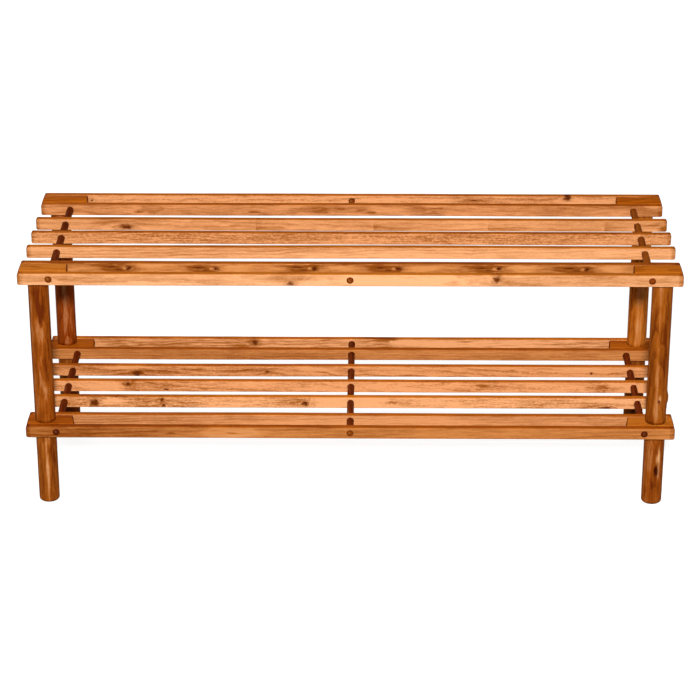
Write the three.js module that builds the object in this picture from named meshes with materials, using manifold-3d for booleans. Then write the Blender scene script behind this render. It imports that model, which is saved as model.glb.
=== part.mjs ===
// Two-tier slatted entryway bench in oiled fir: a seat above one open shelf.
//
// Each tier is seven thin slats on edge, threaded on round cross dowels. At its four corners a leg block
// fills the gap between the outer slat and its neighbour. A foot stands under each shelf block. Its
// tenon runs up through the block into the socket of the post above, and the post's own tenon goes
// into a blind socket in the seat block. The joints are dry or glued wood, and nothing moves.
//
// Millimetres. X runs along the bench, -Y is the front, +Z is up, and the origin is on the floor
// under the middle of the bench.

import * as THREE from 'three';
import { mergeVertices } from 'three/addons/utils/BufferGeometryUtils.js';
import Module from 'manifold-3d';

const wasm = await Module();
wasm.setup();

// ---------------------------------------------------------------- driving dimensions

const LENGTH = 740;               // end to end, the same for every slat
const DEPTH = 260;                // front face of slat 1 to rear face of slat 7
const HEIGHT = 290;               // floor to the top of the seat slats
const SHELF_TOP = 102;            // floor to the top of the shelf slats

const SLAT_THICKNESS = 7.5;       // front to back
const SLAT_HEIGHT = 14;
const SLAT_EASE = 1;              // chamfer on every edge of a slat or block
const PAIR_PITCH = 32.6;          // outer slat to its partner, centre to centre
const INNER_PITCH = 44.4;         // between the three slats in the middle of a tier

const BLOCK_LENGTH = 55;
const LEG_DIAMETER = 23.5;
const LEG_INSET = 20.5;           // end of the bench to the middle of a leg
const LEG_EASE = 1;               // chamfer at a leg's shoulders
const FOOT_ROUNDING = 3.5;        // radius round the bottom of a foot

const TENON_DIAMETER = 14;
const SEAT_TENON = 9;             // how far a post goes up into its seat block
const POST_SOCKET = 12;           // how far a foot's tenon goes up into the post above
const DOWEL_DIAMETER = 8;
const DOWEL_INSET = 34.7;         // end of the bench to an end dowel

const FIT = 0.3;                  // all round a tenon or dowel in its hole
const GLUE_LINE = 0.2;            // between flat faces

const LEG_SIDES = 28;
const TENON_SIDES = 20;
const DOWEL_SIDES = 16;

// ---------------------------------------------------------------- places worked out from them

const outerY = (DEPTH - SLAT_THICKNESS) / 2;
const pairY = outerY - PAIR_PITCH;
const slatYs = [-outerY, -pairY, -INNER_PITCH, 0, INNER_PITCH, pairY, outerY];
const legX = LENGTH / 2 - LEG_INSET;
const legY = (outerY + pairY) / 2;
const dowelX = LENGTH / 2 - DOWEL_INSET;
const blockX = (LENGTH - BLOCK_LENGTH) / 2;
const blockDepth = PAIR_PITCH - SLAT_THICKNESS - 2 * GLUE_LINE;
const dowelDrop = SLAT_HEIGHT / 2;
const legRadius = LEG_DIAMETER / 2;
const tenonRadius = TENON_DIAMETER / 2;

const tiers = [
  { name: 'seat', top: HEIGHT, dowels: { left: -dowelX, right: dowelX }, blind: true },
  { name: 'shelf', top: SHELF_TOP, dowels: { left: -dowelX, centre: 0, right: dowelX }, blind: false },
];
const corners = [
  { name: 'front_left', x: -1, y: -1 },
  { name: 'front_right', x: 1, y: -1 },
  { name: 'rear_left', x: -1, y: 1 },
  { name: 'rear_right', x: 1, y: 1 },
];

// ---------------------------------------------------------------- materials

const slatWood = new THREE.MeshStandardMaterial({ color: 0xdd9355, roughness: 0.5, metalness: 0 });
const blockWood = new THREE.MeshStandardMaterial({ color: 0xb06a28, roughness: 0.55, metalness: 0 });
const legWood = new THREE.MeshStandardMaterial({ color: 0xa85e1c, roughness: 0.5, metalness: 0 });
const dowelWood = new THREE.MeshStandardMaterial({ color: 0x5e260c, roughness: 0.6, metalness: 0 });

// ---------------------------------------------------------------- solids

// A closed geometry as a manifold, with only its positions kept.
function toSolid(geometry) {
  const bare = geometry.clone();
  bare.deleteAttribute('normal');
  bare.deleteAttribute('uv');
  const merged = mergeVertices(bare);
  return new wasm.Manifold(new wasm.Mesh({
    numProp: 3,
    vertProperties: new Float32Array(merged.attributes.position.array),
    triVerts: new Uint32Array(merged.index.array),
  }));
}

function toGeometry(solid) {
  const mesh = solid.getMesh();
  const geometry = new THREE.BufferGeometry();
  geometry.setAttribute('position', new THREE.BufferAttribute(mesh.vertProperties, 3));
  geometry.setIndex(new THREE.BufferAttribute(mesh.triVerts, 1));
  return geometry;
}

function drilled(geometry, drills) {
  let solid = toSolid(geometry);
  for (const drill of drills) solid = solid.subtract(toSolid(drill));
  return toGeometry(solid);
}

// A bar along X with all its edges chamfered, centred on the origin.
function easedBar(length, depth, height) {
  const across = depth / 2 - SLAT_EASE;
  const up = height / 2 - SLAT_EASE;
  const end = SLAT_EASE;
  const section = new THREE.Shape();
  section.moveTo(-across + end, -up);
  section.lineTo(across - end, -up);
  section.lineTo(across, -up + end);
  section.lineTo(across, up - end);
  section.lineTo(across - end, up);
  section.lineTo(-across + end, up);
  section.lineTo(-across, up - end);
  section.lineTo(-across, -up + end);
  section.closePath();
  const bar = new THREE.ExtrudeGeometry(section, {
    depth: length - 2 * SLAT_EASE,
    bevelThickness: SLAT_EASE,
    bevelSize: SLAT_EASE,
    bevelSegments: 1,
  });
  bar.translate(0, 0, SLAT_EASE - length / 2);
  const alongX = new THREE.Matrix4().makeBasis(
    new THREE.Vector3(0, 1, 0),
    new THREE.Vector3(0, 0, 1),
    new THREE.Vector3(1, 0, 0),
  );
  return bar.applyMatrix4(alongX);
}

// A round drill or dowel running front to back.
function crossRod(diameter, length) {
  return new THREE.CylinderGeometry(diameter / 2, diameter / 2, length, DOWEL_SIDES);
}

// A round drill standing upright.
function uprightRod(diameter, length) {
  const rod = new THREE.CylinderGeometry(diameter / 2, diameter / 2, length, TENON_SIDES);
  return rod.rotateX(Math.PI / 2);
}

// Turns a profile of [radius, height] points about Z.
function turned(profile) {
  const points = profile.map(([radius, height]) => new THREE.Vector2(radius, height));
  return new THREE.LatheGeometry(points, LEG_SIDES).rotateX(Math.PI / 2);
}

// A slat with a hole for every dowel or plug that it is threaded on.
function slatGeometry(holeXs) {
  const drills = holeXs.map((x) => crossRod(DOWEL_DIAMETER + 2 * FIT, 2 * SLAT_THICKNESS).translate(x, 0, 0));
  return drilled(easedBar(LENGTH, SLAT_THICKNESS, SLAT_HEIGHT), drills);
}

// A leg block, seen from its own middle. side is -1 at the left end and 1 at the right.
function blockGeometry(side, blind) {
  const dowel = crossRod(DOWEL_DIAMETER + 2 * FIT, 2 * blockDepth).translate(side * (dowelX - blockX), 0, 0);
  const depth = blind ? SEAT_TENON + FIT : 2 * SLAT_HEIGHT;
  const mouth = -SLAT_HEIGHT / 2;
  const reach = SLAT_HEIGHT;
  const socket = uprightRod(TENON_DIAMETER + 2 * FIT, depth + reach);
  socket.translate(side * (legX - blockX), 0, mouth - reach + (depth + reach) / 2);
  return drilled(easedBar(BLOCK_LENGTH, blockDepth, SLAT_HEIGHT), [dowel, socket]);
}

// A post, from its seat on the shelf block up to the end of its tenon. Height 0 is the shelf's top.
function postGeometry() {
  const shoulder = HEIGHT - SLAT_HEIGHT - SHELF_TOP - GLUE_LINE;
  const socketRadius = tenonRadius + FIT;
  return turned([
    [0, POST_SOCKET + FIT],
    [socketRadius, POST_SOCKET + FIT],
    [socketRadius, GLUE_LINE],
    [legRadius - LEG_EASE, GLUE_LINE],
    [legRadius, GLUE_LINE + LEG_EASE],
    [legRadius, shoulder - LEG_EASE],
    [legRadius - LEG_EASE, shoulder],
    [tenonRadius, shoulder],
    [tenonRadius, shoulder + SEAT_TENON],
    [0, shoulder + SEAT_TENON],
  ]);
}

// A foot, from the floor up to the end of the tenon that joins it to its post.
function footGeometry() {
  const shoulder = SHELF_TOP - SLAT_HEIGHT - GLUE_LINE;
  const profile = [[0, 0]];
  const steps = 4;
  for (let i = 0; i <= steps; i += 1) {
    const angle = (i / steps) * (Math.PI / 2);
    profile.push([
      legRadius - FOOT_ROUNDING * (1 - Math.sin(angle)),
      FOOT_ROUNDING * (1 - Math.cos(angle)),
    ]);
  }
  profile.push(
    [legRadius, shoulder - LEG_EASE],
    [legRadius - LEG_EASE, shoulder],
    [tenonRadius, shoulder],
    [tenonRadius, SHELF_TOP + POST_SOCKET],
    [0, SHELF_TOP + POST_SOCKET],
  );
  return turned(profile);
}

// ---------------------------------------------------------------- assembly

const bench = new THREE.Group();
bench.name = 'entryway_bench';

function place(name, geometry, material, x, y, z) {
  const mesh = new THREE.Mesh(geometry, material);
  mesh.name = name;
  mesh.position.set(x, y, z);
  bench.add(mesh);
}

for (const tier of tiers) {
  const middle = tier.top - dowelDrop;
  const dowelXs = Object.values(tier.dowels);

  slatYs.forEach((y, index) => {
    const outer = index === 0 || index === slatYs.length - 1;
    const plugged = outer && !('centre' in tier.dowels);
    const holeXs = plugged ? [...dowelXs, 0] : dowelXs;
    place(`${tier.name}_slat_${index + 1}`, slatGeometry(holeXs), slatWood, 0, y, middle);
  });

  for (const corner of corners) {
    const block = blockGeometry(corner.x, tier.blind);
    place(`${tier.name}_leg_block_${corner.name}`, block, blockWood, corner.x * blockX, corner.y * legY, middle);
  }

  for (const [side, x] of Object.entries(tier.dowels)) {
    place(`${tier.name}_dowel_${side}`, crossRod(DOWEL_DIAMETER, DEPTH), dowelWood, x, 0, middle);
  }
}

for (const corner of corners) {
  place(`post_${corner.name}`, postGeometry(), legWood, corner.x * legX, corner.y * legY, SHELF_TOP);
  place(`foot_${corner.name}`, footGeometry(), legWood, corner.x * legX, corner.y * legY, 0);
}

// The seat has no dowel in the middle: short plugs fill the holes of its outermost slats there.
for (const [name, y] of [['front', -outerY], ['rear', outerY]]) {
  place(`seat_plug_${name}`, crossRod(DOWEL_DIAMETER, SLAT_THICKNESS), dowelWood, 0, y, HEIGHT - dowelDrop);
}

export default bench;
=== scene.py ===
import math

import bmesh
import bpy
from mathutils import Matrix, Vector, noise


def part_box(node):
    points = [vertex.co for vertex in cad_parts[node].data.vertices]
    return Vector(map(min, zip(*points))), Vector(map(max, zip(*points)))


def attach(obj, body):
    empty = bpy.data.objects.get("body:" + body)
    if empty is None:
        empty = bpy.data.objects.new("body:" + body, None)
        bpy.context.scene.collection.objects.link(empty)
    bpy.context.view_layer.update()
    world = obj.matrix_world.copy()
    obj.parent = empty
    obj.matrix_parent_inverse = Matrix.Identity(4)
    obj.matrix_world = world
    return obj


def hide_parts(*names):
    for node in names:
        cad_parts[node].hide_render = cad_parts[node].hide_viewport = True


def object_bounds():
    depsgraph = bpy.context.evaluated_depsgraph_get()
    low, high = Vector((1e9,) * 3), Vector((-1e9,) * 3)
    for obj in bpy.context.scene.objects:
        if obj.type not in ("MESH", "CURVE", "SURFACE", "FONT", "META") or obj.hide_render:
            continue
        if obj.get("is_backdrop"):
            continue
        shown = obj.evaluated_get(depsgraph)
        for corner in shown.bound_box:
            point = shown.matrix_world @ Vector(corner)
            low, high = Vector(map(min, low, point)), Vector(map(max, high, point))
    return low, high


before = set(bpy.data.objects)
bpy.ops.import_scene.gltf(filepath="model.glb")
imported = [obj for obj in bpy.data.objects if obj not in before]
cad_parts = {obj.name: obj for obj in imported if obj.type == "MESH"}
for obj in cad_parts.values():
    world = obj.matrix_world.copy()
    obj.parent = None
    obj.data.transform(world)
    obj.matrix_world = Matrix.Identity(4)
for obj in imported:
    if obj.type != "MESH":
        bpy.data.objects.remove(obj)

cad_low, cad_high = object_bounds()

# ---------------------------------------------------------------------------------------- slats
# Fourteen strips of fir, ripped thin, planed on all four sides and stood on edge. Each is drilled
# through for the cross dowels. Its long edges are eased with sandpaper, its end corners rounded,
# and it is rubbed with a reddish oil that soaks deeper into the end grain. Its narrow top and
# bottom faces are tinted darker and more orange, partly by the oil and partly as painted shade.

MM = 0.001
ROWS = 6                       # faces up the height of a slat
COLUMN = 5 * MM                # length of a face along a slat
HOLE_GAP = 0.2 * MM            # between a dowel and the rim of its hole
END_ROUNDING = 2.2 * MM
EDGE_EASE = 0.8 * MM
RIM_EASE = 0.25 * MM
BOW = 0.55 * MM                # how far a slat strays from straight between its dowels
BOW_FADE = 70 * MM             # a dowel holds the slat true over this length
BOWS_PER_METRE = 3.1
NEXT_SLAT = 7.3                # how far the noise moves on, so that no two slats bow alike
noise.seed_set(1)              # unseeded, noise_vector would bow the slats anew each run
PLANER_RIPPLE = 0.07 * MM
RIPPLES_ALONG = 55             # per metre
RIPPLES_ACROSS = 260
NEAR = 0.01 * MM               # points closer than this are one point


def upright_grid(mesh, left, right, low, high, columns, rows, y):
    """Adds a flat grid that faces the front, from left to right and from low to high."""
    centre = Vector(((left + right) / 2, y, (low + high) / 2))
    stood_up = Matrix.Translation(centre) @ Matrix.Rotation(math.radians(90), 4, "X")
    scale = Matrix.Diagonal((right - left, high - low, 1, 1))
    return bmesh.ops.create_grid(
        mesh, x_segments=columns, y_segments=rows, size=0.5, matrix=stood_up @ scale
    )


def ring_round_hole(mesh, x, low, high, radius, y):
    """Adds a square of faces round a hole: an outer frame of grid, bridged to a circle."""
    height = high - low
    made = upright_grid(mesh, x - height / 2, x + height / 2, low, high, ROWS, ROWS, y)
    centre = Vector((x, y, (low + high) / 2))
    row = height / ROWS

    def reach(point):
        return max(abs(point.x - centre.x), abs(point.z - centre.z))

    faces = {face for vert in made["verts"] for face in vert.link_faces}
    inner = [face for face in faces if reach(face.calc_center_median()) < height / 2 - row]
    bmesh.ops.delete(mesh, geom=inner, context="FACES")
    verts = [vert for vert in made["verts"] if vert.is_valid and reach(vert.co) < height / 2 - row / 2]
    opening = list({edge for vert in verts for edge in vert.link_edges if edge.is_boundary})
    cut = bmesh.ops.subdivide_edges(mesh, edges=opening, cuts=1)
    opening = [item for item in cut["geom_inner"] if isinstance(item, bmesh.types.BMVert)]
    opening = list({edge for vert in opening for edge in vert.link_edges if edge.is_boundary})
    circle = bmesh.ops.create_circle(
        mesh,
        cap_ends=False,
        segments=len(opening),
        radius=radius,
        matrix=Matrix.Translation(centre)
        @ Matrix.Rotation(math.radians(90), 4, "X")
        @ Matrix.Rotation(math.radians(45), 4, "Z"),
    )
    loop = {edge for vert in circle["verts"] for edge in vert.link_edges}
    bmesh.ops.bridge_loops(mesh, edges=opening + list(loop))


def eased(mesh, edges, width, segments):
    """Rounds some edges, as sandpaper or a cutter does."""
    bmesh.ops.bevel(
        mesh,
        geom=edges,
        offset=width,
        offset_type="OFFSET",
        segments=segments,
        profile=0.5,
        affect="EDGES",
        clamp_overlap=False,
        material=-1,
    )


def sharp_edges(mesh, degrees=60):
    return [edge for edge in mesh.edges if edge.calc_face_angle(0) > math.radians(degrees)]


def slat_mesh(low, high, holes, radius, seed):
    """A drilled slat: its front face is a grid, which is drawn out to the slat's thickness."""
    mesh = bmesh.new()
    half = (high.z - low.z) / 2
    middle = (high.z + low.z) / 2
    stops = [low.x]
    for x in sorted(holes):
        stops += [x - half, x + half]
    stops.append(high.x)
    for left, right in zip(stops[::2], stops[1::2]):
        columns = round((right - left) / COLUMN)
        upright_grid(mesh, left, right, low.z, high.z, columns, ROWS, low.y)
    for x in holes:
        ring_round_hole(mesh, x, low.z, high.z, radius, low.y)
    bmesh.ops.remove_doubles(mesh, verts=mesh.verts, dist=NEAR)
    drawn = bmesh.ops.extrude_face_region(mesh, geom=mesh.faces[:])
    verts = [item for item in drawn["geom"] if isinstance(item, bmesh.types.BMVert)]
    bmesh.ops.translate(mesh, verts=verts, vec=(0, high.y - low.y, 0))
    bmesh.ops.recalc_face_normals(mesh, faces=mesh.faces)

    def at_corner(point):
        across = min(abs(point.x - low.x), abs(point.x - high.x))
        up = min(abs(point.z - low.z), abs(point.z - high.z))
        return max(across, up) < NEAR

    corners = [edge for edge in mesh.edges if all(at_corner(vert.co) for vert in edge.verts)]
    eased(mesh, corners, END_ROUNDING, 4)

    def at_rim(point):
        return any(math.hypot(point.x - x, point.z - middle) < radius + NEAR for x in holes)

    sharp = sharp_edges(mesh)
    rims = [edge for edge in sharp if at_rim(edge.verts[0].co) and at_rim(edge.verts[1].co)]
    eased(mesh, [edge for edge in sharp if edge not in rims], EDGE_EASE, 3)
    eased(mesh, rims, RIM_EASE, 2)

    mesh.normal_update()
    for vert in mesh.verts:
        x, y, z = vert.co
        free = min(1, min(abs(x - hole) for hole in holes) / BOW_FADE)
        slow = noise.noise_vector(Vector((x * BOWS_PER_METRE, seed * NEXT_SLAT, 0)))
        ripple = noise.noise(Vector((x * RIPPLES_ALONG, y * RIPPLES_ACROSS + seed, z * RIPPLES_ACROSS)))
        vert.co += vert.normal * ripple * PLANER_RIPPLE
        vert.co += BOW * free * Vector((0, slow.y, slow.x))
    return mesh


NUMBER = "NodeSocketFloat"
VECTOR = "NodeSocketVector"
COLOUR = "NodeSocketColor"
ORIGIN = (0, 0, 0)
ACROSS_GRAIN = (0, 1, 1)
WHITE = (1, 1, 1, 1)


def new_group(name, inputs, outputs):
    """Starts a shader node group; gives its tree, its input sockets and its output sockets."""
    tree = bpy.data.node_groups.new(name, "ShaderNodeTree")
    for label, kind, value in inputs:
        socket = tree.interface.new_socket(name=label, in_out="INPUT", socket_type=kind)
        socket.default_value = value
    for label in outputs:
        kind = VECTOR if label in ("Vector", "Bend") else COLOUR if label == "Color" else NUMBER
        tree.interface.new_socket(name=label, in_out="OUTPUT", socket_type=kind)
    given = tree.nodes.new("NodeGroupInput").outputs
    out = tree.nodes.new("NodeGroupOutput").inputs
    return tree, given, out


def place(tree, kind, feeds, **settings):
    """Adds a node with its settings, and feeds its inputs with sockets or plain values."""
    made = tree.nodes.new(kind)
    for name, value in settings.items():
        setattr(made, name, value)
    for name, value in feeds.items():
        if isinstance(value, bpy.types.NodeSocket):
            tree.links.new(value, made.inputs[name])
        else:
            made.inputs[name].default_value = value
    return made.outputs


def place_group(tree, group, feeds):
    return place(tree, "ShaderNodeGroup", feeds, node_tree=group)


def reckon(tree, operation, *values, clamp=False):
    feeds = dict(enumerate(values))
    return place(tree, "ShaderNodeMath", feeds, operation=operation, use_clamp=clamp)[0]


def vectors(tree, operation, *values):
    made = place(tree, "ShaderNodeVectorMath", dict(enumerate(values)), operation=operation)
    return made["Value"] if operation in ("LENGTH", "DOT_PRODUCT") else made["Vector"]


def ramp(tree, value, start, end, low=0.0, high=1.0, interpolation_type="SMOOTHSTEP"):
    """Eases from low to high while the value goes from start to end."""
    feeds = {"Value": value, "From Min": start, "From Max": end, "To Min": low, "To Max": high}
    return place(tree, "ShaderNodeMapRange", feeds, interpolation_type=interpolation_type)[0]


def blended(tree, amount, first, second, blend_type="MIX"):
    feeds = {0: amount, 6: first, 7: second}
    return place(tree, "ShaderNodeMix", feeds, data_type="RGBA", blend_type=blend_type)[2]


def cloudy(tree, vector, scales, seed, detail=2):
    """Smooth noise about 0.5, as fine along each axis as the scales say."""
    feeds = {"Vector": vectors(tree, "MULTIPLY", vector, scales), "W": seed, "Scale": 1, "Detail": detail}
    return place(tree, "ShaderNodeTexNoise", feeds, noise_dimensions="4D")[0]


# Grain is never quite straight: the vector is pushed sideways a little, in slow waves.
WAVE_SCALES = (0.04, 0.14, 0.14)
wavy_grain, given, out = new_group(
    "wavy_grain",
    [("Vector", VECTOR, ORIGIN), ("Amount", NUMBER, 3.0), ("Seed", NUMBER, 0.0)],
    ["Vector"],
)
slowed = vectors(wavy_grain, "MULTIPLY", given["Vector"], WAVE_SCALES)
feeds = {"Vector": slowed, "W": given["Seed"], "Scale": 1, "Detail": 3}
push = place(wavy_grain, "ShaderNodeTexNoise", feeds, noise_dimensions="4D")["Color"]
push = vectors(wavy_grain, "SUBTRACT", push, (0.5, 0.5, 0.5))
push = vectors(wavy_grain, "MULTIPLY", push, ACROSS_GRAIN)
waved = vectors(wavy_grain, "MULTIPLY_ADD", push, given["Amount"], given["Vector"])
wavy_grain.links.new(waved, out["Vector"])

# Growth rings round a pith that runs roughly along X, in millimetres. Each year's wood darkens
# towards its end and then drops back. Fibre is the fine streaks, Tone the slow drift in colour, and
# Flecks the short pale dashes where the plane has lifted the grain.
fir_rings, given, out = new_group(
    "fir_rings",
    [
        ("Vector", VECTOR, ORIGIN),
        ("Pith", VECTOR, (0, 40, -30)),
        ("Lean", VECTOR, (0, 0.01, 0.01)),
        ("Ring Width", NUMBER, 2.6),
        ("Wander", NUMBER, 3.0),
        ("Seed", NUMBER, 0.0),
    ],
    ["Rings", "Fibre", "Tone", "Flecks"],
)
along = place(fir_rings, "ShaderNodeSeparateXYZ", {0: given["Vector"]})["X"]
leaning = vectors(fir_rings, "MULTIPLY_ADD", given["Lean"], along, given["Vector"])
from_pith = vectors(fir_rings, "SUBTRACT", leaning, given["Pith"])
from_pith = vectors(fir_rings, "MULTIPLY", from_pith, ACROSS_GRAIN)
drift = cloudy(fir_rings, given["Vector"], (0.011, 0.05, 0.05), given["Seed"])
strayed = reckon(fir_rings, "MULTIPLY_ADD", drift, given["Wander"], vectors(fir_rings, "LENGTH", from_pith))
years = reckon(fir_rings, "DIVIDE", strayed, given["Ring Width"])
season = reckon(fir_rings, "FRACT", years)
late_wood = reckon(
    fir_rings, "MULTIPLY", ramp(fir_rings, season, 0.25, 0.88), ramp(fir_rings, season, 1.0, 0.9)
)
year = reckon(fir_rings, "ADD", reckon(fir_rings, "FLOOR", years), given["Seed"])
strength = place(fir_rings, "ShaderNodeTexWhiteNoise", {"W": year}, noise_dimensions="1D")[0]
strength = ramp(fir_rings, strength, 0, 1, 0.35, 1)
fir_rings.links.new(reckon(fir_rings, "MULTIPLY", late_wood, strength), out["Rings"])
streaks = cloudy(fir_rings, given["Vector"], (0.06, 0.62, 0.62), given["Seed"], 3)
fir_rings.links.new(ramp(fir_rings, streaks, 0.33, 0.67), out["Fibre"])
slow = cloudy(fir_rings, given["Vector"], (0.016, 0.09, 0.09), given["Seed"])
fir_rings.links.new(ramp(fir_rings, slow, 0.3, 0.7), out["Tone"])
dashes = cloudy(fir_rings, given["Vector"], (0.32, 0.95, 0.95), given["Seed"])
fir_rings.links.new(ramp(fir_rings, dashes, 0.42, 0.68), out["Flecks"])

# A knot: a branch end with a dark core and a stained halo. Bend, added to the vector, draws it in
# towards the knot, so that the rings go round it. A soft patch of colour is a knot's halo alone.
KNOT_RAGGEDNESS = 2.6
KNOT_PULL = 0.75
KNOT_PULL_FADE = 0.4
fir_knot, given, out = new_group(
    "fir_knot",
    [
        ("Vector", VECTOR, ORIGIN),
        ("Centre", VECTOR, ORIGIN),
        ("Size", VECTOR, (5, 5, 5)),
        ("Seed", NUMBER, 0.0),
    ],
    ["Bend", "Core", "Halo"],
)
offset = vectors(fir_knot, "SUBTRACT", given["Vector"], given["Centre"])
scaled = vectors(fir_knot, "DIVIDE", offset, given["Size"])
distance = vectors(fir_knot, "LENGTH", scaled)
wobble = cloudy(fir_knot, scaled, (1.1, 1.1, 1.1), given["Seed"], 4)
wobble = reckon(fir_knot, "SUBTRACT", wobble, 0.5)
ragged = reckon(fir_knot, "MULTIPLY_ADD", wobble, KNOT_RAGGEDNESS, distance)
fir_knot.links.new(ramp(fir_knot, ragged, 1.25, 0.45), out["Core"])
fir_knot.links.new(ramp(fir_knot, ragged, 2.3, 0.3), out["Halo"])
fading = reckon(fir_knot, "MULTIPLY", reckon(fir_knot, "POWER", distance, 2), -KNOT_PULL_FADE)
pull = reckon(fir_knot, "MULTIPLY", reckon(fir_knot, "EXPONENT", fading), -KNOT_PULL)
sideways = vectors(fir_knot, "MULTIPLY", offset, ACROSS_GRAIN)
fir_knot.links.new(vectors(fir_knot, "MULTIPLY", sideways, pull), out["Bend"])

# At a given place along a piece, the tone steps darker, more so low on the face, and then drifts back.
tone_step, given, out = new_group(
    "tone_step",
    [("Vector", VECTOR, ORIGIN), ("Start", NUMBER, 0.0), ("Length", NUMBER, 45.0), ("Seed", NUMBER, 0.0)],
    ["Mask"],
)
spot = place(tone_step, "ShaderNodeSeparateXYZ", {0: given["Vector"]})
past = reckon(tone_step, "SUBTRACT", spot["X"], given["Start"])
fading = ramp(tone_step, reckon(tone_step, "DIVIDE", past, given["Length"]), 0, 1, 1, 0, "LINEAR")
begun = ramp(tone_step, past, -0.3, 0.5)
low_down = ramp(tone_step, spot["Z"], 6, -4, 0.25, 1)
cloud = cloudy(tone_step, given["Vector"], (0.05, 0.3, 0.3), given["Seed"])
mask = reckon(tone_step, "MULTIPLY", reckon(tone_step, "MULTIPLY", begun, fading), low_down)
mask = reckon(tone_step, "MULTIPLY", mask, ramp(tone_step, cloud, 0.3, 0.6, 0.5, 1))
tone_step.links.new(mask, out["Mask"])

# The oiled surface: the wood's colours by ring, streak and knot, darker on the narrow faces and
# ends, partly where the oil soaks in and partly as painted shade, and nearly bare where the oil
# hasn't taken. Each depth says how far that part of the figure goes from the pale colour to the
# deep one, and the base depth is where the mean wood lies between them.
RING_DEPTH = 0.36
FIBRE_DEPTH = 0.34
TONE_DEPTH = 0.3
MEAN_DEPTH = -(RING_DEPTH / 4 + FIBRE_DEPTH / 2 + TONE_DEPTH / 2)
BASE_DEPTH = 0.3
BARENESS = 0.45                # how fast the wood turns bare as its figure falls below the pale colour
HALO_STRENGTH = 0.62
HALO_DARKNESS = 0.35           # from the deep colour to a knot's own
oiled_fir, given, out = new_group(
    "oiled_fir",
    [
        ("Rings", NUMBER, 0.0),
        ("Fibre", NUMBER, 0.5),
        ("Tone", NUMBER, 0.5),
        ("Flecks", NUMBER, 0.0),
        ("Fleck Amount", NUMBER, 0.1),
        ("Shade", NUMBER, 0.0),
        ("Halo", NUMBER, 0.0),
        ("Core", NUMBER, 0.0),
        ("Edge", NUMBER, 0.0),
        ("End", NUMBER, 0.0),
        ("Contrast", NUMBER, 1.0),
        ("Bare", COLOUR, WHITE),
        ("Pale", COLOUR, WHITE),
        ("Deep", COLOUR, WHITE),
        ("Knot", COLOUR, WHITE),
        ("Edge Tint", COLOUR, WHITE),
        ("End Tint", COLOUR, WHITE),
    ],
    ["Color", "Roughness", "Height"],
)
figure = reckon(oiled_fir, "MULTIPLY_ADD", given["Rings"], RING_DEPTH, MEAN_DEPTH)
figure = reckon(oiled_fir, "MULTIPLY_ADD", given["Fibre"], FIBRE_DEPTH, figure)
figure = reckon(oiled_fir, "MULTIPLY_ADD", given["Tone"], TONE_DEPTH, figure)
figure = reckon(oiled_fir, "MULTIPLY_ADD", figure, given["Contrast"], given["Shade"])
lifted = reckon(oiled_fir, "MULTIPLY", given["Flecks"], given["Fleck Amount"])
figure = reckon(oiled_fir, "SUBTRACT", figure, lifted)
figure = reckon(oiled_fir, "ADD", figure, BASE_DEPTH)
colour = blended(oiled_fir, figure, given["Pale"], given["Deep"])
untaken = reckon(oiled_fir, "MULTIPLY", figure, -BARENESS, clamp=True)
colour = blended(oiled_fir, untaken, colour, given["Bare"])
halo_part = reckon(oiled_fir, "MULTIPLY", given["Halo"], HALO_STRENGTH)
halo_colour = blended(oiled_fir, HALO_DARKNESS, given["Deep"], given["Knot"])
colour = blended(oiled_fir, halo_part, colour, halo_colour)
colour = blended(oiled_fir, given["Core"], colour, given["Knot"])
for part in ("Edge", "End"):
    tinted = blended(oiled_fir, 1, colour, given[part + " Tint"], "MULTIPLY")
    colour = blended(oiled_fir, given[part], colour, tinted)
oiled_fir.links.new(colour, out["Color"])
roughness = reckon(oiled_fir, "MULTIPLY_ADD", given["Fibre"], 0.14, 0.47)
roughness = reckon(oiled_fir, "MULTIPLY_ADD", given["Core"], -0.12, roughness)
oiled_fir.links.new(roughness, out["Roughness"])
relief = reckon(oiled_fir, "MULTIPLY_ADD", given["Rings"], 0.5, given["Fibre"])
oiled_fir.links.new(reckon(oiled_fir, "MULTIPLY_ADD", given["Core"], 0.6, relief), out["Height"])

# Early wood, late wood and knots, each as a change to the wood's mean colour.
PALE = (1.24, 1.33, 1.5)
DEEP = (0.5, 0.34, 0.1)
KNOT = (0.19, 0.08, 0.005)
BARE_WOOD = (250, 184, 124)    # a tone in 0-255, as the boards' own tones are
BRIGHTEST = 0.93
STEP_DARKNESS = 0.5
GLOSS = 0.05
RELIEF_STRENGTH = 0.35
RELIEF_DEPTH = 0.12 * MM
GRAIN_TURNS = {
    "X": Matrix.Identity(3),
    "Y": Matrix.Rotation(math.radians(-90), 3, "Z"),
    "Z": Matrix.Rotation(math.radians(90), 3, "Y"),
}
EXPOSURE = 1.48                # how bright a white slat front is under the studio's key light


def shade_of(tone, change=(1, 1, 1)):
    """A linear colour from a mean tone in 0-255, with a change to each channel."""
    linear = [((value / 255 + 0.055) / 1.055) ** 2.4 for value in tone]
    return (*(min(BRIGHTEST, value * factor / EXPOSURE) for value, factor in zip(linear, change)), 1)


def fold_to_nearest(tree, vector, seed, spots):
    """Moves the vector's origin to the nearest of some spots along X, and gives each its own seed."""
    along = place(tree, "ShaderNodeSeparateXYZ", {0: vector})["X"]
    vector = vectors(tree, "SUBTRACT", vector, spots[0])
    for before, after in zip(spots, spots[1:]):
        past = reckon(tree, "GREATER_THAN", along, (before[0] + after[0]) / 2)
        vector = vectors(tree, "MULTIPLY_ADD", past, Vector(before) - Vector(after), vector)
        seed = reckon(tree, "ADD", past, seed)
    return vector, seed


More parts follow.
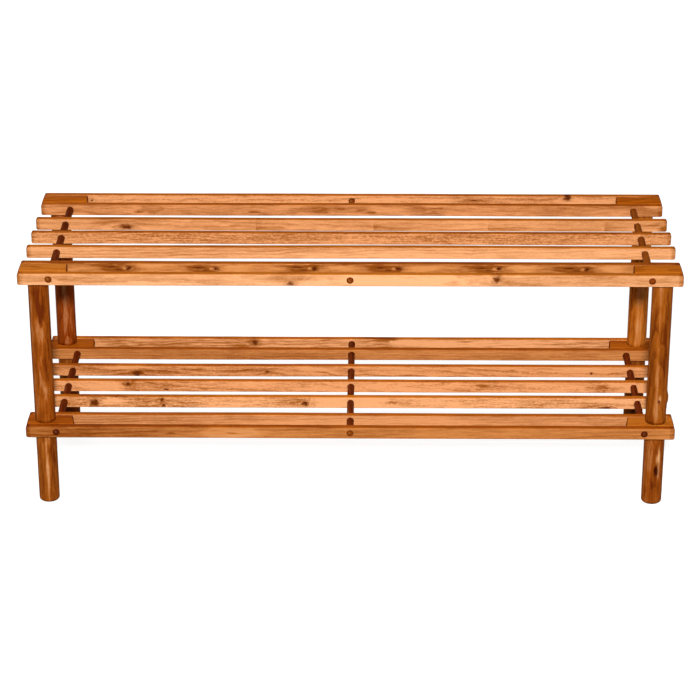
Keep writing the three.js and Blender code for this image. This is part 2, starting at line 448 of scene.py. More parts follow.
def fir_material(
    name,
    tone,
    middle,
    seed,
    grain="X",
    pith=(0, 34, -26),
    lean=(0, 0.012, 0.02),
    ring_width=2.7,
    wander=7.0,
    contrast=1.0,
    flecks=0.16,
    knots=(),
    patches=(),
    whorls=(),
    whorl_knots=(),
    whorl_patches=(),
    joints=(),
    edge_tint=(1, 1, 1),
    end_tint=(0.6, 0.42, 0.2),
    waves=3.0,
):
    """Oiled fir for one piece, with its pattern's X axis turned along the piece's grain.

    A knot is a centre (x, y, z) and its half sizes along each axis, in the pattern's millimetres
    from the middle of the piece. A patch has an amount after those, darker where it is above 0 and
    paler where it is below. Whorls are places along the piece that each have the same knots and
    patches round them. Tone steps are places along it where the tone steps darker and drifts back.
    """
    material = bpy.data.materials.new(name)
    material.use_nodes = True
    tree = material.node_tree
    surface = tree.nodes["Principled BSDF"]
    turn = GRAIN_TURNS[grain]
    vector = place(tree, "ShaderNodeTexCoord", {})["Object"]
    feeds = {
        "Vector": vector,
        "Location": -(turn @ middle) / MM,
        "Rotation": turn.to_euler(),
        "Scale": (1 / MM, 1 / MM, 1 / MM),
    }
    vector = place(tree, "ShaderNodeMapping", feeds)[0]
    vector = place_group(tree, wavy_grain, {"Vector": vector, "Amount": waves, "Seed": seed})["Vector"]
    places = [(vector, seed, knots, patches)]
    if whorls:
        nearest, whorl_seed = fold_to_nearest(tree, vector, seed, whorls)
        places.append((nearest, whorl_seed, whorl_knots, whorl_patches))
    straight = vector
    core = 0.0
    halo = 0.0
    shade = 0.0
    for spot, spot_seed, spot_knots, spot_patches in places:
        for index, (x, y, z, along, deep, up) in enumerate(spot_knots):
            own_seed = reckon(tree, "ADD", spot_seed, index * 1.7)
            feeds = {"Vector": spot, "Centre": (x, y, z), "Size": (along, deep, up), "Seed": own_seed}
            knot = place_group(tree, fir_knot, feeds)
            vector = vectors(tree, "ADD", vector, knot["Bend"])
            core = reckon(tree, "MAXIMUM", core, knot["Core"])
            halo = reckon(tree, "MAXIMUM", halo, knot["Halo"])
        for index, (x, y, z, along, deep, up, amount) in enumerate(spot_patches):
            own_seed = reckon(tree, "ADD", spot_seed, index * 2.3)
            feeds = {"Vector": spot, "Centre": (x, y, z), "Size": (along, deep, up), "Seed": own_seed}
            patch = place_group(tree, fir_knot, feeds)
            shade = reckon(tree, "MULTIPLY_ADD", patch["Halo"], amount, shade)
    for start in joints:
        step_mask = place_group(tree, tone_step, {"Vector": straight, "Start": start, "Seed": seed + start})
        shade = reckon(tree, "MULTIPLY_ADD", step_mask["Mask"], STEP_DARKNESS, shade)
    feeds = {
        "Vector": vector,
        "Pith": pith,
        "Lean": lean,
        "Ring Width": ring_width,
        "Wander": wander,
        "Seed": seed,
    }
    rings = place_group(tree, fir_rings, feeds)
    normal = place(tree, "ShaderNodeNewGeometry", {})["Normal"]
    edge = reckon(tree, "ABSOLUTE", vectors(tree, "DOT_PRODUCT", normal, (0, 0, 1)))
    end = reckon(tree, "ABSOLUTE", vectors(tree, "DOT_PRODUCT", normal, turn[0]))
    feeds = {
        "Rings": rings["Rings"],
        "Fibre": rings["Fibre"],
        "Tone": rings["Tone"],
        "Flecks": rings["Flecks"],
        "Fleck Amount": flecks,
        "Shade": shade,
        "Halo": halo,
        "Core": core,
        "Edge": ramp(tree, edge, 0.15, 0.8),
        "End": ramp(tree, end, 0.12, 0.7),
        "Contrast": contrast,
        "Bare": shade_of(BARE_WOOD),
        "Pale": shade_of(tone, PALE),
        "Deep": shade_of(tone, DEEP),
        "Knot": shade_of(tone, KNOT),
        "Edge Tint": (*edge_tint, 1),
        "End Tint": (*end_tint, 1),
    }
    finish = place_group(tree, oiled_fir, feeds)
    tree.links.new(finish["Color"], surface.inputs["Base Color"])
    tree.links.new(finish["Roughness"], surface.inputs["Roughness"])
    feeds = {"Height": finish["Height"], "Strength": RELIEF_STRENGTH, "Distance": RELIEF_DEPTH}
    bump = place(tree, "ShaderNodeBump", feeds)
    tree.links.new(bump[0], surface.inputs["Normal"])
    surface.inputs["Specular IOR Level"].default_value = GLOSS
    return material


def finish_piece(name, mesh, material, node, smooth_under=40):
    """Turns a bmesh into an object in the row's frame, which stands for its CAD node."""
    data = bpy.data.meshes.new(name)
    mesh.to_mesh(data)
    mesh.free()
    data.materials.append(material)
    data.shade_smooth()
    data.set_sharp_from_angle(angle=math.radians(smooth_under))
    piece = bpy.data.objects.new(name, data)
    bpy.context.scene.collection.objects.link(piece)
    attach(piece, "root")
    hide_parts(node)
    return piece


# Seat slat 2 was cut from a board with a whorl of branches about every 100 mm.
SEAT_WHORLS = [(-248, 0, 0.6), (-151, 0, -0.2), (-40, 0, 0.4), (54, 0, 0), (167, 0, 0.5), (265, 0, 0)]

# Round each branch: an almond of dark wood before it with a paler inside, a soft stain, dark brush
# strokes, a pale fleck, and pale wood beyond.
WHORL_KNOTS = [(0, 0.8, 3.4, 2.1), (-20, 2.0, 6, 0.8), (-12, -1.2, 4, 0.6)]
WHORL_PATCHES = [
    (-18, 0.2, 10, 2.8, 0.7),
    (-18, 0.2, 6, 0.9, -0.5),
    (-28, 3.2, 9, 0.7, 0.6),
    (-8, -2.4, 7, 0.8, 0.5),
    (-13, 0.4, 16, 4.6, 0.3),
    (3, 3.2, 7, 0.9, 0.6),
    (-4.6, 0.8, 2.0, 1.2, -1.1),
    (20, 3.4, 12, 1.2, -0.5),
    (28, 0.5, 9, 2.2, -0.4),
]

# Each slat's own board: its tone, how strong its figure is, and its knots and soft patches.
slat_boards = {
    "seat_slat_1": dict(
        tone=(243, 170, 112),
        contrast=0.75,
        knots=[(-66, -3.6, 4.5, 2.2), (163, 1.6, 4.6, 3.4)],
        patches=[
            (-240, 3, 90, 4, 0.14),
            (60, -3, 70, 4, -0.2),
            (10, 1, 110, 7, -0.2),
            (-66, 0, 16, 6, 0.3),
            (-52, 2, 30, 2, 0.2),
            (163, 2, 12, 6, 0.3),
            (190, -3, 40, 2, 0.2),
            (-300, -2, 40, 3, 0.12),
            (280, 1, 70, 6, 0.3),
        ],
    ),
    "seat_slat_2": dict(
        tone=(205, 129, 66),
        contrast=1.4,
        ring_width=3.1,
        wander=10,
        whorls=SEAT_WHORLS,
        whorl_knots=WHORL_KNOTS,
        whorl_patches=WHORL_PATCHES,
        patches=[(220, 0, 130, 9, 0.2)],
    ),
    "seat_slat_3": dict(
        tone=(236, 162, 103),
        contrast=0.85,
        patches=[
            (-180, 3, 90, 4, 0.16),
            (-60, 4, 50, 1.4, 0.2),
            (170, 1, 110, 4, -0.12),
            (20, -4, 120, 2, -0.2),
        ],
    ),
    "seat_slat_4": dict(
        tone=(224, 148, 89),
        contrast=1.35,
        flecks=0.62,
        ring_width=1.7,
        wander=4,
        patches=[
            (-10, -7, 13, 2, -0.5),
            (148, -7, 14, 2, -0.5),
            (-200, 1, 110, 6, 0.28),
            (-60, 1, 40, 5, 0.12),
            (190, 1, 120, 6, 0.42),
        ],
    ),
    "seat_slat_5": dict(
        tone=(233, 157, 97),
        contrast=0.85,
        knots=[(-263, -3, 8.5, 3.2)],
        patches=[
            (-282, 4, 13, 4, 0.35),
            (-240, 2, 14, 3, 0.2),
            (-200, 0, 70, 6, 0.14),
            (368, -5, 5, 3, 0.7),
            (350, 1, 8, 0.8, 0.6),
            (358, 3, 5, 0.8, 0.5),
            (290, 0, 70, 5, 0.12),
        ],
        joints=[-112, 26, 160, 297],
    ),
    "seat_slat_6": dict(
        tone=(219, 141, 82),
        contrast=1.15,
        ring_width=3.4,
        wander=9,
        patches=[
            (-253.5, -2.2, 4, 1, 0.9),
            (-116, -2.2, 4, 1, 0.9),
            (24, -2.4, 4, 1, 0.9),
            (-37, 0, 26, 3, 0.3),
            (107, 0, 26, 3, 0.3),
            (-170, -2, 40, 4, 0.26),
            (210, 0, 60, 5, 0.16),
        ],
    ),
    "seat_slat_7": dict(
        tone=(232, 155, 96),
        contrast=1.2,
        flecks=0.42,
        knots=[(259, 5.2, 4.6, 3.4), (146, 1.4, 6, 1.2), (-313, 0, 1.3, 1.3)],
        patches=[
            (265, -3, 16, 2.4, -0.6),
            (-30, 2, 70, 4, -0.16),
            (210, 0, 90, 6, 0.24),
            (146, 1, 14, 3, 0.3),
        ],
    ),
    "shelf_slat_1": dict(
        tone=(199, 121, 58),
        contrast=0.95,
        ring_width=3.6,
        wander=9,
        patches=[
            (-136, -0.5, 22, 4.2, -1.2),
            (-136, -0.5, 14, 1.9, 0.6),
            (-136, 0, 5, 0.8, 0.9),
            (-205, -1, 4, 1, 0.5),
            (120, -2, 60, 3, -0.2),
            (-330, 0, 60, 9, 0.5),
            (-220, 0, 60, 9, 0.3),
            (10, 0, 40, 5, 0.2),
        ],
    ),
    "shelf_slat_2": dict(
        tone=(220, 144, 86),
        contrast=0.9,
        patches=[
            (-280, 0, 110, 6, 0.22),
            (-90, 2, 50, 2, 0.14),
            (250, 0, 90, 4, 0.14),
            (0, -1, 90, 5, -0.26),
        ],
    ),
    "shelf_slat_3": dict(
        tone=(239, 164, 105),
        flecks=0.5,
        contrast=1.35,
        ring_width=1.9,
        wander=5,
        knots=[
            (-300, -1, 5.4, 3.8),
            (-221, 3, 2, 2.2),
            (-219, -4, 2, 2.2),
            (-53, -1, 3.8, 3),
            (298, -5.2, 8, 1.4),
        ],
        patches=[
            (-276, 1, 14, 3, -0.6),
            (-250, 0, 90, 8, 0.54),
            (-10, 0, 90, 9, -0.2),
            (270, 0, 80, 8, 0.22),
            (-60, 0, 16, 4, 0.6),
            (52, 1, 15, 4, 0.4),
            (50, 1, 5, 1.4, 0.6),
            (10, 2, 30, 2, -0.3),
            (286, -2, 20, 3, 0.35),
            (310, 3, 16, 2, -0.4),
        ],
    ),
    "shelf_slat_4": dict(
        tone=(233, 155, 96),
        flecks=0.4,
        contrast=1.25,
        ring_width=2.2,
        knots=[(-265, 3, 2.6, 2.8), (-219, -4, 3, 1.1)],
        patches=[
            (-288, -1, 20, 2.8, -0.6),
            (-262, -2, 8, 7, 0.45),
            (-220, 0, 90, 8, 0.24),
            (160, 0, 14, 5, 0.3),
            (156, 2, 5, 1.5, 0.9),
            (298, 2, 5, 2, 0.8),
            (293, 1, 9, 6, 0.5),
            (312, -3, 9, 2, 0.4),
            (300, 4, 14, 1.4, -0.5),
        ],
    ),
    "shelf_slat_5": dict(
        tone=(225, 146, 86),
        flecks=0.4,
        contrast=1.35,
        ring_width=3.2,
        wander=9,
        knots=[(-258, -3, 5.5, 3.2), (-101, -0.5, 1.8, 1.3), (289, -2, 1.5, 1.5)],
        patches=[
            (-270, 4.5, 22, 1.8, -0.8),
            (-280, -1, 60, 6, 0.45),
            (-180, 0, 60, 6, 0.2),
            (283, 3.6, 28, 2.2, -0.9),
            (330, 3.4, 12, 1.6, -0.5),
            (-50, 3, 12, 2, -0.5),
            (-101, 0, 8, 3, 0.3),
        ],
    ),
    "shelf_slat_6": dict(
        tone=(204, 126, 64),
        contrast=1.0,
        patches=[(-110, 0, 60, 5, 0.2), (-300, 2, 60, 5, 0.14), (120, 3, 90, 2, -0.14)],
    ),
    "shelf_slat_7": dict(
        tone=(237, 161, 102),
        contrast=1.5,
        ring_width=3.0,
        wander=6,
        knots=[(-120, 2, 4.8, 3.4)],
        patches=[
            (34, 2, 16, 7, 0.6),
            (42, 5, 8, 2.2, 0.6),
            (50, 3.4, 3, 1, -1.2),
            (-134, -2, 14, 6, 0.45),
            (-240, 0, 90, 7, 0.3),
            (74, 2, 32, 2, -0.6),
            (140, 3, 7, 1.3, 0.7),
            (230, 0, 90, 3, -0.24),
        ],
    ),
}

SLAT_EDGE_SOAK_AND_SHADE = (0.8, 0.48, 0.08)     # the narrow top and bottom faces, darker and more orange: partly oil soak, partly painted shade
SLAT_END_TINT = (0.5, 0.32, 0.1)
END_SOAK = (3, 60, 60, 0.5)            # a slat darkens over its last few millimetres
DOWEL_HOLE = (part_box("seat_dowel_left")[1].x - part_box("seat_dowel_left")[0].x) / 2 + HOLE_GAP


def middle_of(node):
    low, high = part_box(node)
    return (low + high) / 2


def mark_depths(marks, depth=60):
    """Marks on a slat go right through it, so its board gives them without a depth."""
    return [(x, 0, z, along, depth, up, *amount) for x, z, along, up, *amount in marks]


threaded = {
    "seat": ["seat_dowel_left", "seat_dowel_right"],
    "shelf": ["shelf_dowel_left", "shelf_dowel_centre", "shelf_dowel_right"],
}
plugged = {"seat_slat_1": ["seat_plug_front"], "seat_slat_7": ["seat_plug_rear"]}

# Every board was sawn from its own place in the tree, so the pith and lean change with its number.
for number, (node, board) in enumerate(slat_boards.items(), start=1):
    rods = threaded[node.split("_")[0]] + plugged.get(node, [])
    holes = [middle_of(rod).x for rod in rods]
    low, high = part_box(node)
    look = dict(board)
    for kind in ("knots", "patches", "whorl_knots", "whorl_patches"):
        look[kind] = mark_depths(look.get(kind, []))
    reach = (high.x - low.x) / 2 / MM
    look["patches"] += [(side * reach, 0, 0, *END_SOAK) for side in (-1, 1)]
    material = fir_material(
        node + "_oiled",
        middle=middle_of(node),
        seed=number * 3.7,
        edge_tint=SLAT_EDGE_SOAK_AND_SHADE,
        end_tint=SLAT_END_TINT,
        pith=(0, 36 + 9 * math.sin(number * 2.4), -24 + 30 * math.sin(number * 1.3)),
        lean=(0, 0.012 * math.sin(number * 1.9), 0.03 * math.cos(number * 1.1)),
        **look,
    )
    mesh = slat_mesh(low, high, holes, DOWEL_HOLE, number)
    finish_piece("oiled_" + node, mesh, material, node)


# ----------------------------------------------------------------------------------- leg blocks
# Eight short blocks of the same fir, glued between the outer slats where the legs come. Each is
# bored upright for a leg's tenon and across for the end dowel. Their tops take the oil dark, and
# their inner ends were cut by hand, a little off square.

BLOCK_SOFTENING = 0.35 * MM
BLOCK_SLANT = {"shelf_leg_block_front_left": 4.5 * MM, "shelf_leg_block_front_right": 3.6 * MM}
USUAL_SLANT = 2.2 * MM
INNER_END = 1.5 * MM           # points this close to the inner end belong to it

block_tones = {
    "seat_leg_block_front_left": (228, 128, 38),
    "seat_leg_block_front_right": (214, 112, 20),
    "seat_leg_block_rear_left": (214, 108, 16),
    "seat_leg_block_rear_right": (212, 104, 8),
    "shelf_leg_block_front_left": (186, 90, 12),
    "shelf_leg_block_front_right": (212, 116, 30),
    "shelf_leg_block_rear_left": (192, 94, 12),
    "shelf_leg_block_rear_right": (192, 94, 12),
}


def block_mesh(node):
    """A copy of the bored block, with its edges softened and its inner end cut a little askew."""
    low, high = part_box(node)
    mesh = bmesh.new()
    mesh.from_mesh(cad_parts[node].data)
    bmesh.ops.remove_doubles(mesh, verts=mesh.verts, dist=NEAR)
    bmesh.ops.dissolve_limit(
        mesh, angle_limit=math.radians(1), verts=mesh.verts, edges=mesh.edges, use_dissolve_boundaries=False
    )
    centre = (low + high) / 2
    inward = -math.copysign(1, centre.x)
    slant = BLOCK_SLANT.get(node, USUAL_SLANT)
    for vert in mesh.verts:
        if (vert.co.x - centre.x) * inward > (high.x - low.x) / 2 - INNER_END:
            frontness = (high.y - vert.co.y) / (high.y - low.y)
            vert.co.x += inward * slant * (frontness - 1)
    chamfers = [edge for edge in sharp_edges(mesh, 30) if edge.calc_face_angle(0) < math.radians(70)]
    eased(mesh, chamfers, BLOCK_SOFTENING, 2)
    return mesh


for number, (node, tone) in enumerate(block_tones.items(), start=1):
    material = fir_material(
        node + "_oiled",
        tone=tone,
        middle=middle_of(node),
        seed=60 + number * 2.9,
        pith=(0, 6 * math.sin(number * 2.1), -30 + 8 * math.cos(number)),
        lean=(0, 0.05 * math.sin(number * 1.3), 0.05 * math.cos(number * 1.7)),
        ring_width=3.1,
        contrast=1.1,
        # The ends are tinted near black: partly end grain taking the oil, partly painted shade for the dark
        # gap at each block's inner end.
        end_tint=(0.28, 0.16, 0.05),
    )
    finish_piece("oiled_" + node, block_mesh(node), material, node)


# ---------------------------------------------------------------------------------------- posts
# Four turned fir poles that hold the seat above the shelf. Each stands on a shelf block, with the
# foot's tenon up its socket, and its own tenon is glued into the seat block. They are not quite
# round, and they are oiled darker than the slats.

LEG_SIDES = 72
LEG_EASE = 1.0 * MM
LEG_ROW = 3 * MM
TENON_RADIUS = 7 * MM
SEAT_TENON = 9 * MM
SOCKET_RADIUS = 7.3 * MM
SOCKET_DEPTH = 12.1 * MM
OUT_OF_ROUND = 0.22 * MM
FINE_SWELL = 0.35              # the finer unevenness against the slow one
BRANCH_STUB = dict(height=0.1325, proud=1.5 * MM, half_height=6.5 * MM, half_width=0.5)


def turned_mesh(outline, axis, rounded, seed, stub=None):
    """Spins an outline of (radius, height) points about an upright axis.

    rounded lists the outer edges that are eased, as (height, width). stub is a branch cut off
    close to the wood, on the side towards +X.
    """
    mesh = bmesh.new()
    verts = [mesh.verts.new((radius, 0, height)) for radius, height in outline]
    for pair in zip(verts, verts[1:]):
        mesh.edges.new(pair)
    bmesh.ops.spin(
        mesh,
        geom=mesh.verts[:] + mesh.edges[:],
        cent=ORIGIN,
        axis=(0, 0, 1),
        angle=math.tau,
        steps=LEG_SIDES,
        use_merge=True,
    )
    bmesh.ops.remove_doubles(mesh, verts=mesh.verts, dist=NEAR)
    bmesh.ops.recalc_face_normals(mesh, faces=mesh.faces)
    leg_radius = max(radius for radius, height in outline)

    def on_wall(edge):
        return all(abs(math.hypot(vert.co.x, vert.co.y) - leg_radius) < NEAR for vert in edge.verts)

    for height, width in rounded:
        outer = [edge for edge in mesh.edges if on_wall(edge)]
        rim = [edge for edge in outer if all(abs(vert.co.z - height) < NEAR for vert in edge.verts)]
        eased(mesh, rim, width, 5)
    tall = [edge for edge in mesh.edges if on_wall(edge) and edge.calc_length() > 4 * LEG_ROW]
    rows = round(tall[0].calc_length() / LEG_ROW)
    bmesh.ops.subdivide_edges(mesh, edges=tall, cuts=rows, use_grid_fill=True)

    for vert in mesh.verts:
        radius = math.hypot(vert.co.x, vert.co.y)
        if radius < leg_radius - 1.5 * LEG_EASE:
            continue
        outward = Vector((vert.co.x, vert.co.y, 0)) / radius
        swell = noise.noise(Vector((outward.x * 1.1 + seed, outward.y * 1.1, vert.co.z * 9)))
        swell += FINE_SWELL * noise.noise(Vector((outward.x * 3 + seed, outward.y * 3, vert.co.z * 60)))
        vert.co += outward * swell * OUT_OF_ROUND
        if stub:
            rise = (vert.co.z - stub["height"]) / stub["half_height"]
            round_it = math.atan2(outward.y, outward.x) / stub["half_width"]
            vert.co += outward * stub["proud"] * math.exp(-(rise**4) - round_it**2)
    bmesh.ops.translate(mesh, verts=mesh.verts, vec=(axis.x, axis.y, 0))
    return mesh


def leg_marks(marks):
    """Marks on a leg, given as (height, how far to the right, half sizes, ...), lie on its front."""
    return [(up, -12, -right, tall, 10, wide, *amount) for up, right, tall, wide, *amount in marks]


post_boards = {
    "post_front_left": dict(
        tone=(152, 73, 9),
        patches=[
            (62, 3, 20, 3.6, 0.9),
            (68, 3.6, 14, 1.0, -0.7),
            (40, 3, 8, 1.8, 0.6),
            (24, 2.6, 10, 3.2, -0.5),
            (-36, -1.5, 6, 1.1, -0.8),
            (-44, 1.5, 6, 1.1, -0.8),
            (-53, 4.2, 7, 1.6, -0.8),
            (-20, 5, 24, 1.1, 0.5),
            (0, -8, 90, 1.4, -0.4),
        ],
    ),
    "post_front_right": dict(
        tone=(158, 80, 14),
        knots=[(-62, 1.5, 2, 1.2)],
        patches=[
            (-60, -1.5, 32, 1.4, -0.9),
            (-58, 2.6, 3, 1.0, -1.4),
            (40, -3, 50, 1.6, -0.5),
            (10, 5, 70, 1.3, 0.45),
            (-30, -5, 60, 1.4, 0.4),
        ],
    ),
    # The long pale stripes down the rear posts' fronts are painted highlights, where the key light catches
    # the round.
    "post_rear_left": dict(tone=(143, 59, 4), patches=[(-20, 0.6, 90, 1.6, -0.75)]),
    "post_rear_right": dict(
        tone=(184, 98, 23),
        patches=[(-20, -2, 90, 1.6, -0.75), (-20, 2.6, 90, 1.2, -0.6)],
    ),
}

POST_FOOT_SHADE = (2.2, 40, 40, 0.6)    # painted shade where a post meets its block

for number, (node, board) in enumerate(post_boards.items(), start=1):
    low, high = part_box(node)
    radius = (high.x - low.x) / 2
    shoulder = high.z - SEAT_TENON
    outline = [
        (0, low.z + SOCKET_DEPTH),
        (SOCKET_RADIUS, low.z + SOCKET_DEPTH),
        (SOCKET_RADIUS, low.z),
        (radius, low.z),
        (radius, shoulder),
        (TENON_RADIUS, shoulder),
        (TENON_RADIUS, high.z),
        (0, high.z),
    ]
    stub = BRANCH_STUB if node == "post_front_right" else None
    mesh = turned_mesh(outline, middle_of(node), [(low.z, LEG_EASE), (shoulder, LEG_EASE)], number * 5, stub)
    bottom = (low.z - high.z) / 2 / MM
    material = fir_material(
        node + "_oiled",
        tone=board["tone"],
        middle=middle_of(node),
        seed=90 + number * 4.3,
        grain="Z",
        pith=(0, 7 + 4 * math.sin(number), 4 * math.cos(number * 2)),
        lean=(0, 0.04, 0.03 * math.cos(number * 1.7)),
        ring_width=2.6,
        wander=9,
        contrast=1.6,
        knots=leg_marks(board.get("knots", [])),
        patches=leg_marks(board["patches"]) + [(bottom, 0, 0, *POST_FOOT_SHADE)],
    )
    finish_piece("turned_" + node, mesh, material, node)


# ----------------------------------------------------------------------------------------- feet
# Four short lengths of the same pole under the shelf. The tenon on each goes up through the shelf
# block and into the post above, and the bottom rim is rounded so that it does not splinter.

FOOT_ROUNDING = 3.5 * MM
FOOT_TENON = 26.2 * MM
TENON_EASE = 1 * MM

foot_boards = {
    "foot_front_left": dict(
        tone=(158, 80, 15),
        patches=[
            (-12, 1.2, 38, 1.1, -1.2),
            (24, 4.5, 6, 1.0, -0.9),
            (-34, -5, 24, 2, 0.4),
            (0, 7, 50, 2, 0.4),
        ],
    ),
    "foot_front_right": dict(
        tone=(150, 71, 9),
        knots=[(-13, 2.4, 6.5, 2.2)],
        patches=[
            (3, 5.4, 9, 1.1, -1.7),
            (2, 3, 4, 1.4, -1.3),
            (-16, 5, 6, 0.9, -1.2),
            (-34, -2, 22, 2.6, 0.4),
            (0, -6, 50, 1.6, -0.3),
        ],
    ),
    # The rear feet are toned darker than the front ones as painted shade, for the shadow under the shelf.
    "foot_rear_left": dict(tone=(134, 64, 12)),
    "foot_rear_right": dict(tone=(134, 64, 12)),
}

for number, (node, board) in enumerate(foot_boards.items(), start=1):
    low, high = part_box(node)
    radius = (high.x - low.x) / 2
    shoulder = high.z - FOOT_TENON
    outline = [
        (0, low.z),
        (radius, low.z),
        (radius, shoulder),
        (TENON_RADIUS, shoulder),
        (TENON_RADIUS, high.z - TENON_EASE),
        (TENON_RADIUS - TENON_EASE, high.z),
        (0, high.z),
    ]
    rounded = [(low.z, FOOT_ROUNDING), (shoulder, LEG_EASE)]
    mesh = turned_mesh(outline, middle_of(node), rounded, 40 + number * 5)
    material = fir_material(
        node + "_oiled",
        tone=board["tone"],
        middle=middle_of(node),
        seed=120 + number * 3.1,
        grain="Z",
        pith=(0, 8 + 3 * math.cos(number), 5 * math.sin(number * 2)),
        lean=(0, 0.05, 0.04 * math.sin(number)),
        ring_width=2.5,
        wander=9,
        contrast=1.6,
        knots=leg_marks(board.get("knots", [])),
        patches=leg_marks(board.get("patches", [])),
    )
    finish_piece("turned_" + node, mesh, material, node)


# ---------------------------------------------------------------------------- dowels and plugs
# Five hardwood dowels thread the slats together, stained nearly black-brown, and two short plugs
# fill the middle holes of the seat's front and rear slats. Each took the stain a little differently.

ROD_SIDES = 40
ROD_EASE = 0.5 * MM
ROD_PROUD = 0.35 * MM          # an end stands this far out of its slat
ROD_ROW = 6 * MM

# Along each rod's axis: the stain all over, a paler heart that its ends show, and a paler streak along the
# top, which is a painted highlight.
ROD_MARKS = [(0, 0, 0, 999, 99, 99, 0.35), (0, 0, 0, 400, 1.5, 1.5, -0.6), (0, 1.2, 4, 400, 0.9, 3, -0.35)]

# Each rod's stain, and how its sawn ends differ from its side.
rod_stains = {
    "seat_dowel_left": dict(tone=(127, 47, 2), end_tint=(1.05, 1.45, 1)),
    "seat_dowel_right": dict(tone=(172, 86, 14), end_tint=(0.55, 0.38, 0.2)),
    "shelf_dowel_left": dict(tone=(127, 47, 2), end_tint=(0.5, 0.5, 0.5)),
    "shelf_dowel_centre": dict(tone=(127, 47, 2), end_tint=(1.15, 1.75, 1.5)),
    "shelf_dowel_right": dict(tone=(127, 47, 2), end_tint=(0.5, 0.5, 0.5)),
    "seat_plug_front": dict(tone=(127, 47, 2), end_tint=(1.05, 1.45, 1)),
    "seat_plug_rear": dict(tone=(127, 47, 2), end_tint=(1.05, 1.45, 1)),
}


def rod_mesh(low, high):
    """A round rod from front to back, with its end rims eased."""
    mesh = bmesh.new()
    length = high.y - low.y + 2 * ROD_PROUD
    centre = (low + high) / 2
    radius = (high.x - low.x) / 2
    turn = Matrix.Translation(centre) @ Matrix.Rotation(math.radians(90), 4, "X")
    bmesh.ops.create_cone(
        mesh, cap_ends=True, segments=ROD_SIDES, radius1=radius, radius2=radius, depth=length, matrix=turn
    )
    eased(mesh, sharp_edges(mesh), ROD_EASE, 3)
    long = [edge for edge in mesh.edges if edge.calc_length() > length / 2]
    bmesh.ops.subdivide_edges(mesh, edges=long, cuts=max(2, round(length / ROD_ROW)), use_grid_fill=True)
    for face in [face for face in mesh.faces if len(face.verts) == ROD_SIDES]:
        bmesh.ops.inset_individual(mesh, faces=[face], thickness=radius / 3)
    return mesh


for number, (node, stain) in enumerate(rod_stains.items(), start=1):
    low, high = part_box(node)
    material = fir_material(
        node + "_stained",
        middle=middle_of(node),
        seed=150 + number * 2.3,
        grain="Y",
        pith=(0, 9, 4),
        ring_width=1.3,
        wander=2,
        contrast=1.2,
        patches=ROD_MARKS,
        waves=0.6,
        **stain,
    )
    finish_piece("stained_" + node, rod_mesh(low, high), material, node)


# --------------------------------------------------------------------------------------- studio
# A pale floor and a white surround, one soft key light above the camera, and weak lights behind and
# beside so that no side is black. The floor and the surround look white but shed little light.

# Places and sizes are in metres, from the floor under the middle of the bench. Powers are in watts.
KEY_PLACE = Vector((0.02, -3.0, 1.74))
KEY_POWER = 150
KEY_SIZE = 0.24
BACK_PLACE = Vector((-0.9, 2.8, 0.9))
BACK_POWER = 55
BACK_SIZE = 1.6
SIDE_PLACES = {"left_light": Vector((-2.8, 0.7, 0.6)), "right_light": Vector((2.8, 0.7, 0.6))}
SIDE_POWER = 24
SIDE_SIZE = 1.2
SURROUND_GLOW = 0.09
FLOOR_GLOW = 0.84
FLOOR_TONE = 0.35
FLOOR_SIDE = 60

CAMERA_TARGET = Vector((-1.08, 0, 141.3)) * MM
CAMERA_DISTANCE = 2.9
CAMERA_PITCH = math.radians(23.84)
CAMERA_YAW = math.radians(0.48)
CAMERA_LENS = 126.3


def seen_directly(tree, strength_seen, strength_shed):
    """The strength of a glow that the camera sees, but that lights other things less."""
    seen = place(tree, "ShaderNodeLightPath", {})["Is Camera Ray"]
    return ramp(tree, seen, 0, 1, strength_shed, strength_seen, "LINEAR")


world = bpy.data.worlds.new("surround")
world.use_nodes = True
bpy.context.scene.world = world
glow = world.node_tree.nodes["Background"].inputs
glow["Color"].default_value = WHITE
world.node_tree.links.new(seen_directly(world.node_tree, 1, SURROUND_GLOW), glow["Strength"])

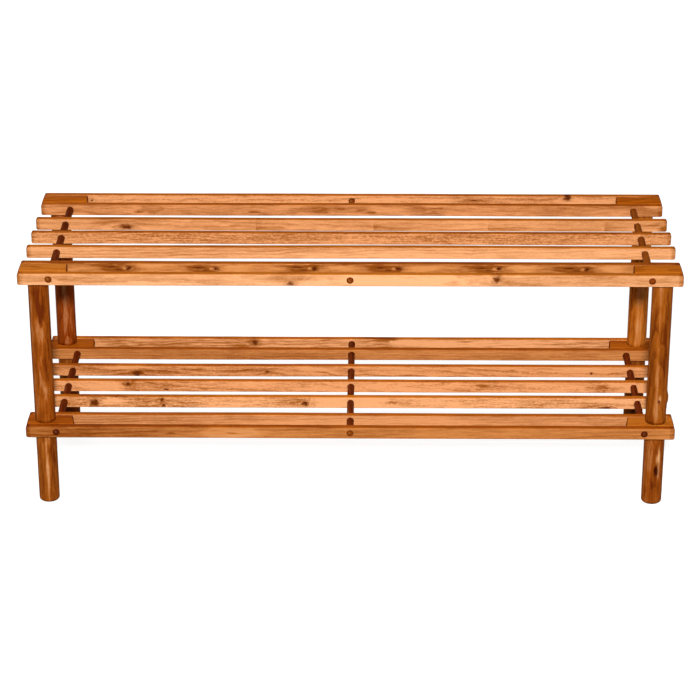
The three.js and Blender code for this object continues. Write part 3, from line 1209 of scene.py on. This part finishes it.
floor_finish = bpy.data.materials.new("pale_floor")
floor_finish.use_nodes = True
tree = floor_finish.node_tree
surface = tree.nodes["Principled BSDF"]
surface.inputs["Base Color"].default_value = (FLOOR_TONE, FLOOR_TONE, FLOOR_TONE, 1)
surface.inputs["Roughness"].default_value = 0.9
surface.inputs["Specular IOR Level"].default_value = 0
surface.inputs["Emission Color"].default_value = WHITE
tree.links.new(seen_directly(tree, FLOOR_GLOW, 0), surface.inputs["Emission Strength"])

floor_shape = bmesh.new()
bmesh.ops.create_grid(floor_shape, x_segments=1, y_segments=1, size=FLOOR_SIDE / 2)
floor_data = bpy.data.meshes.new("floor")
floor_shape.to_mesh(floor_data)
floor_shape.free()
floor_data.materials.append(floor_finish)
floor = bpy.data.objects.new("floor", floor_data)
bpy.context.scene.collection.objects.link(floor)
floor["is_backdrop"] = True


def add_softbox(name, location, power, size, aim, mirrored=True):
    light = bpy.data.lights.new(name, "AREA")
    light.shape = "DISK"
    light.size = size
    light.energy = power
    lamp = bpy.data.objects.new(name, light)
    lamp.location = location
    lamp.rotation_euler = (aim - location).to_track_quat("-Z", "Y").to_euler()
    lamp.visible_camera = False
    lamp.visible_glossy = mirrored
    bpy.context.scene.collection.objects.link(lamp)


bench_middle = (cad_low + cad_high) / 2
add_softbox("key_light", KEY_PLACE, KEY_POWER, KEY_SIZE, bench_middle)
add_softbox("back_light", BACK_PLACE, BACK_POWER, BACK_SIZE, bench_middle, mirrored=False)
for name, place_beside in SIDE_PLACES.items():
    add_softbox(name, place_beside, SIDE_POWER, SIDE_SIZE, bench_middle, mirrored=False)

view = bpy.data.cameras.new("camera")
view.lens = CAMERA_LENS
camera = bpy.data.objects.new("camera", view)
behind = Matrix.Rotation(CAMERA_YAW, 3, "Z") @ Vector((0, -math.cos(CAMERA_PITCH), math.sin(CAMERA_PITCH)))
camera.location = CAMERA_TARGET + behind * CAMERA_DISTANCE
camera.rotation_euler = (math.pi / 2 - CAMERA_PITCH, 0, CAMERA_YAW)
bpy.context.scene.collection.objects.link(camera)
bpy.context.scene.camera = camera
bpy.context.scene.view_settings.view_transform = "Standard"

low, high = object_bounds()
